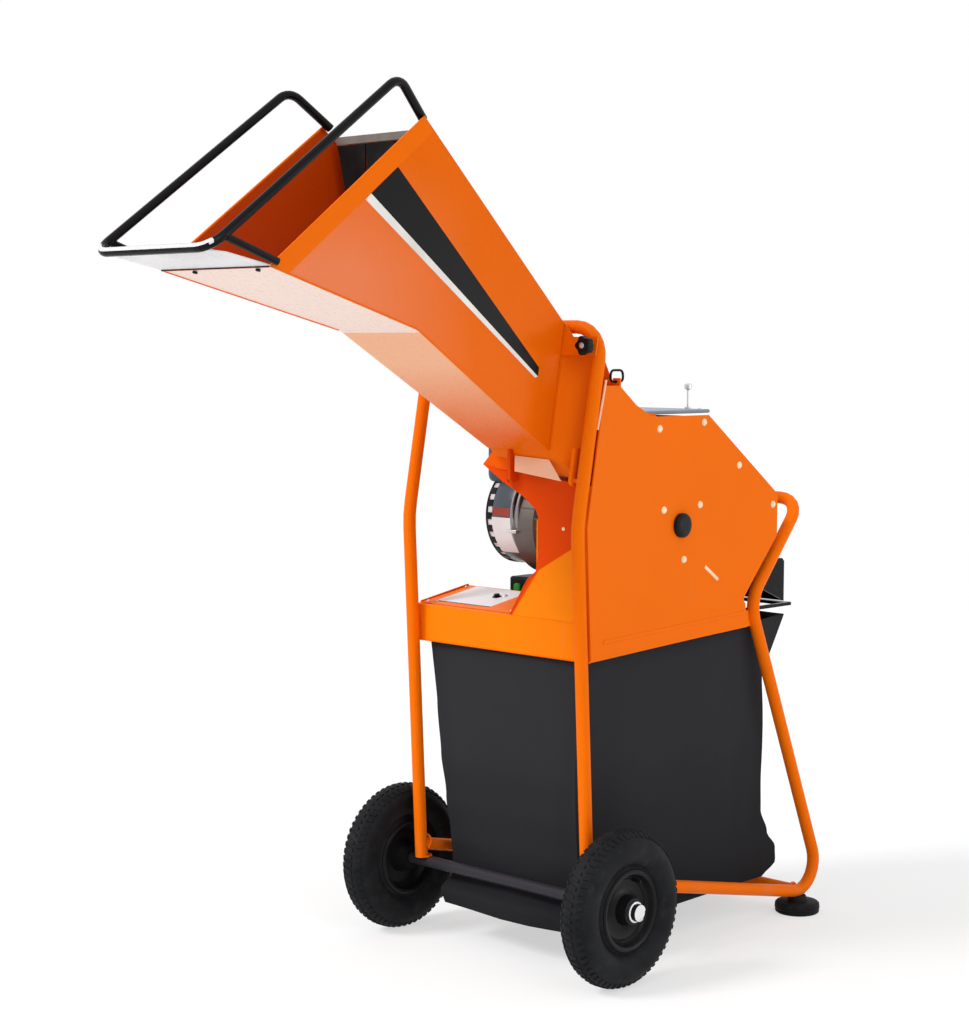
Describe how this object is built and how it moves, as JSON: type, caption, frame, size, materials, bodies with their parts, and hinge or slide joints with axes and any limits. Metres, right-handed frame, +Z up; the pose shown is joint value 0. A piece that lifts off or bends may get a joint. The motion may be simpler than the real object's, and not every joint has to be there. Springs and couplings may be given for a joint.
{
  "type": "electric garden shredder",
  "caption": "Upright wheeled garden shredder with a tilting square hopper, side motor, tube frame and an open cloth bag under the tray.",
  "frame": {"origin": "middle of the footprint's bounding box, on the ground", "axes": "+Z up; the operator stands at -Y in front of the hopper; +X is the side with the large side plate, -X the motor side"},
  "size_m": [0.5986, 1.3672, 1.4224],
  "materials": {
    "orange_paint": "semi-gloss powder coat",
    "deep_orange_paint": "semi-gloss powder coat",
    "foot_rubber": "matt",
    "tyre_rubber": "matt",
    "flap_rubber": "matt",
    "rim_nylon": "moulded",
    "black_paint": "semi-gloss",
    "chromed_cap": "polished",
    "bare_steel": "machined",
    "cast_metal": "cast and painted grey",
    "winding_copper": "enamelled winding in a stack",
    "black_plastic": "moulded",
    "grey_plastic": "moulded",
    "zinc_plate": "zinc plated",
    "green_plastic": "moulded",
    "red_plastic": "moulded",
    "bag_cloth": "woven"
  },
  "bodies": {
    "frame": {"front_hoop": "orange_paint", "rear_frame": "orange_paint", "rear_cross_tube": "orange_paint", "foot_near": "foot_rubber", "foot_far": "foot_rubber", "axle": "black_paint", "axle_cap_near": "chromed_cap", "axle_cap_far": "chromed_cap", "bag_tray": "orange_paint", "deck_plate": "zinc_plate", "side_plate": "orange_paint", "chamber_plate": "orange_paint", "neck_front": "deep_orange_paint", "chamber_cover": "orange_paint", "inlet_funnel": "deep_orange_paint", "anvil": "bare_steel", "sieve": "bare_steel", "hub_cap": "black_plastic", "bearing_near": "cast_metal", "bearing_far": "cast_metal", "motor_body": "cast_metal", "motor_front_bell": "cast_metal", "motor_stator": "winding_copper", "fan_cowl": "black_plastic", "control_box": "grey_plastic", "control_box_lid": "grey_plastic", "mains_inlet": "black_plastic", "switch_box": "black_plastic", "bag_rail": "zinc_plate", "hood_rod": "zinc_plate"},
    "wheel_near": {"tyre_near": "tyre_rubber", "rim_near": "rim_nylon"},
    "wheel_far": {"tyre_far": "tyre_rubber", "rim_far": "rim_nylon"},
    "rotor": {"drive_shaft": "bare_steel", "rotor": "bare_steel", "blade_1": "bare_steel", "blade_2": "bare_steel", "motor_armature": "bare_steel", "cooling_fan": "black_plastic"},
    "hopper": {"hopper_body": "orange_paint", "hopper_flange": "orange_paint", "hopper_neck": "orange_paint", "hinge_cheek_near": "orange_paint", "hinge_cheek_far": "orange_paint", "safety_bar": "black_paint", "curtain_clamp": "zinc_plate", "lip_plate": "zinc_plate"},
    "lock_knob": {"lock_knob": "black_plastic"},
    "flap_1": {"curtain_flap_1": "flap_rubber"},
    "flap_2": {"curtain_flap_2": "flap_rubber"},
    "flap_3": {"curtain_flap_3": "flap_rubber"},
    "hood": {"rear_hood": "black_paint"},
    "bag": {"collecting_bag": "bag_cloth", "bag_hanger": "zinc_plate"},
    "start_button": {"start_button": "green_plastic"},
    "stop_button": {"stop_button": "red_plastic"},
    "reset_knob": {"reset_knob": "zinc_plate"},
    "inlet_lid": {"inlet_lid": "black_plastic"},
    "lifting_ring": {"lifting_ring": "chromed_cap"}
  },
  "joints": [
    {"name": "wheel_spin_near", "type": "hinge", "parent": "frame", "child": "wheel_near", "pos_m": [0.254, 0.05132, 0.1285], "axis": [1, 0, 0], "continuous": true},
    {"name": "wheel_spin_far", "type": "hinge", "parent": "frame", "child": "wheel_far", "pos_m": [-0.254, 0.05132, 0.1285], "axis": [1, 0, 0], "continuous": true},
    {"name": "rotor_spin", "type": "hinge", "parent": "frame", "child": "rotor", "pos_m": [0, 0.26032, 0.731], "axis": [1, 0, 0], "continuous": true},
    {"name": "hopper_tilt", "type": "hinge", "parent": "frame", "child": "hopper", "pos_m": [0, 0.02483, 0.8145], "axis": [1, 0, 0], "range_deg": [0, 80]},
    {"name": "lock_knob_turn", "type": "hinge", "parent": "hopper", "child": "lock_knob", "pos_m": [0.18699, 0.02539, 1.03], "axis": [0, 1, 0], "continuous": true},
    {"name": "flap_swing_1", "type": "hinge", "parent": "hopper", "child": "flap_1", "pos_m": [-0.077, -0.25618, 1.3407], "axis": [1, 0, 0], "range_deg": [-10, 30]},
    {"name": "flap_swing_2", "type": "hinge", "parent": "hopper", "child": "flap_2", "pos_m": [-0.01133, -0.25618, 1.3407], "axis": [1, 0, 0], "range_deg": [-10, 30]},
    {"name": "flap_swing_3", "type": "hinge", "parent": "hopper", "child": "flap_3", "pos_m": [0.05433, -0.25618, 1.3407], "axis": [1, 0, 0], "range_deg": [-10, 30]},
    {"name": "hood_swing", "type": "hinge", "parent": "frame", "child": "hood", "pos_m": [0, 0.52772, 0.652], "axis": [1, 0, 0], "range_deg": [0, 60]},
    {"name": "bag_slide", "type": "slide", "parent": "frame", "child": "bag", "axis": [0, 1, 0], "range_m": [0, 0.45]},
    {"name": "start_press", "type": "slide", "parent": "frame", "child": "start_button", "axis": [0, 1, 0], "range_m": [0, 0.004], "stiffness_N_per_m": 400},
    {"name": "stop_press", "type": "slide", "parent": "frame", "child": "stop_button", "axis": [0, 1, 0], "range_m": [0, 0.004], "stiffness_N_per_m": 400},
    {"name": "reset_pull", "type": "slide", "parent": "frame", "child": "reset_knob", "axis": [0, 0, 1], "range_m": [0, 0.006], "stiffness_N_per_m": 300},
    {"name": "inlet_lid_swing", "type": "hinge", "parent": "frame", "child": "inlet_lid", "pos_m": [-0.12, 0.52062, 0.883], "axis": [1, 0, 0], "range_deg": [0, 110], "stiffness_Nm_per_rad": 0.02},
    {"name": "ring_swing", "type": "hinge", "parent": "frame", "child": "lifting_ring", "pos_m": [0.196, 0.10082, 0.972], "axis": [0, 1, 0], "range_deg": [-30, 60]}
  ]
}
